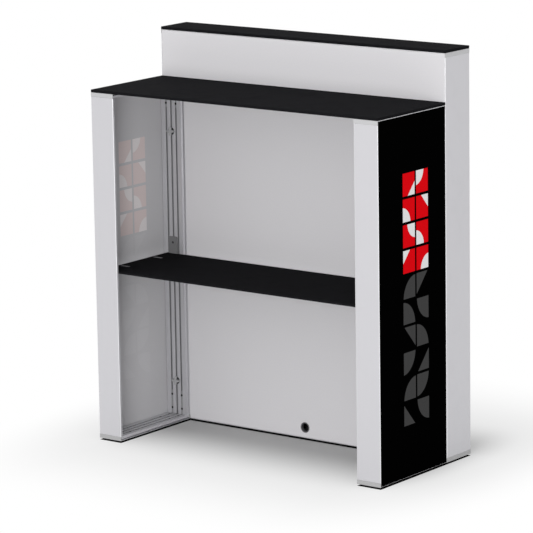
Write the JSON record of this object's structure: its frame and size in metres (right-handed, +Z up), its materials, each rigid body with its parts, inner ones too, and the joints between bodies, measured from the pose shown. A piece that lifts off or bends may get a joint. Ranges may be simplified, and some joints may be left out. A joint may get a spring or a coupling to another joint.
{
  "type": "exhibition counter",
  "caption": "Knock-down exhibition counter of flat aluminium frames with stretched fabric sides, a black worktop, a raised bar top and a hanging shelf.",
  "frame": {"origin": "middle of the footprint, on the floor", "axes": "+Z up, +X to the right as the staff see it, +Y towards the visitors"},
  "size_m": [1, 0.445, 1.1743],
  "materials": {
    "frame_profile": "satin anodised extrusion",
    "corner_casting": "grey die-cast",
    "grey_casting": "grey powder coat on a die-casting",
    "lock_metal": "bare die-cast",
    "plated_steel": "bright zinc plate",
    "foot_rubber": "black rubber strip",
    "black_board": "matt black compact laminate",
    "black_plastic": "black moulded plastic",
    "printed_fabric": "black printed stretch fabric",
    "white_fabric": "plain pale stretch fabric"
  },
  "bodies": {
    "counter_frame": {"left_wing_front_stile": "frame_profile", "left_wing_rear_stile": "frame_profile", "left_wing_top_rail": "frame_profile", "left_wing_bottom_rail": "frame_profile", "left_wing_lower_front_corner": "corner_casting", "left_wing_lower_rear_corner": "corner_casting", "left_wing_upper_front_corner": "corner_casting", "left_wing_upper_rear_corner": "corner_casting", "left_wing_foot_strip": "foot_rubber", "left_side_fabric": "printed_fabric", "shelf_bracket_left_front": "grey_casting", "shelf_bracket_left_rear": "grey_casting", "lock_receiver_left_lower": "plated_steel", "lock_receiver_left_upper": "plated_steel", "right_wing_front_stile": "frame_profile", "right_wing_rear_stile": "frame_profile", "right_wing_top_rail": "frame_profile", "right_wing_bottom_rail": "frame_profile", "right_wing_lower_front_corner": "corner_casting", "right_wing_lower_rear_corner": "corner_casting", "right_wing_upper_front_corner": "corner_casting", "right_wing_upper_rear_corner": "corner_casting", "right_wing_foot_strip": "foot_rubber", "right_side_fabric": "printed_fabric", "shelf_bracket_right_front": "grey_casting", "shelf_bracket_right_rear": "grey_casting", "lock_receiver_right_lower": "plated_steel", "lock_receiver_right_upper": "plated_steel", "wall_left_stile": "frame_profile", "wall_right_stile": "frame_profile", "wall_top_rail": "frame_profile", "wall_bottom_rail": "frame_profile", "wall_lower_left_corner": "corner_casting", "wall_lower_right_corner": "corner_casting", "wall_upper_left_corner": "corner_casting", "wall_upper_right_corner": "corner_casting", "wall_foot_strip": "foot_rubber", "wall_staff_fabric": "white_fabric", "wall_front_fabric": "printed_fabric", "cable_grommet": "black_plastic", "cable_grommet_ring": "black_plastic"},
    "left_lower_lock": {"lock_knob_left_lower": "lock_metal", "lock_bolt_left_lower": "plated_steel"},
    "left_upper_lock": {"lock_knob_left_upper": "lock_metal", "lock_bolt_left_upper": "plated_steel"},
    "right_lower_lock": {"lock_knob_right_lower": "lock_metal", "lock_bolt_right_lower": "plated_steel"},
    "right_upper_lock": {"lock_knob_right_upper": "lock_metal", "lock_bolt_right_upper": "plated_steel"},
    "worktop": {"worktop": "black_board", "worktop_pin_1": "black_plastic", "worktop_pin_2": "black_plastic", "worktop_pin_3": "black_plastic", "worktop_pin_4": "black_plastic"},
    "bar_top": {"bar_top": "black_board", "bar_top_pin_1": "black_plastic", "bar_top_pin_2": "black_plastic", "bar_top_pin_3": "black_plastic"},
    "shelf": {"shelf": "black_board"}
  },
  "joints": [
    {"name": "left_lower_lock_turn", "type": "hinge", "parent": "counter_frame", "child": "left_lower_lock", "pos_m": [-0.46, 0.0902, 0.119], "axis": [0, 1, 0], "range_deg": [0, 90]},
    {"name": "left_upper_lock_turn", "type": "hinge", "parent": "counter_frame", "child": "left_upper_lock", "pos_m": [-0.46, 0.0902, 0.87], "axis": [0, 1, 0], "range_deg": [0, 90]},
    {"name": "right_lower_lock_turn", "type": "hinge", "parent": "counter_frame", "child": "right_lower_lock", "pos_m": [0.46, 0.0902, 0.119], "axis": [0, 1, 0], "range_deg": [0, 90]},
    {"name": "right_upper_lock_turn", "type": "hinge", "parent": "counter_frame", "child": "right_upper_lock", "pos_m": [0.46, 0.0902, 0.87], "axis": [0, 1, 0], "range_deg": [0, 90]},
    {"name": "worktop_lift", "type": "slide", "parent": "counter_frame", "child": "worktop", "axis": [0, 0, 1], "range_m": [0, 0.05]},
    {"name": "bar_top_lift", "type": "slide", "parent": "counter_frame", "child": "bar_top", "axis": [0, 0, 1], "range_m": [0, 0.05]},
    {"name": "shelf_lift", "type": "slide", "parent": "counter_frame", "child": "shelf", "axis": [0, 0, 1], "range_m": [0, 0.06]}
  ]
}
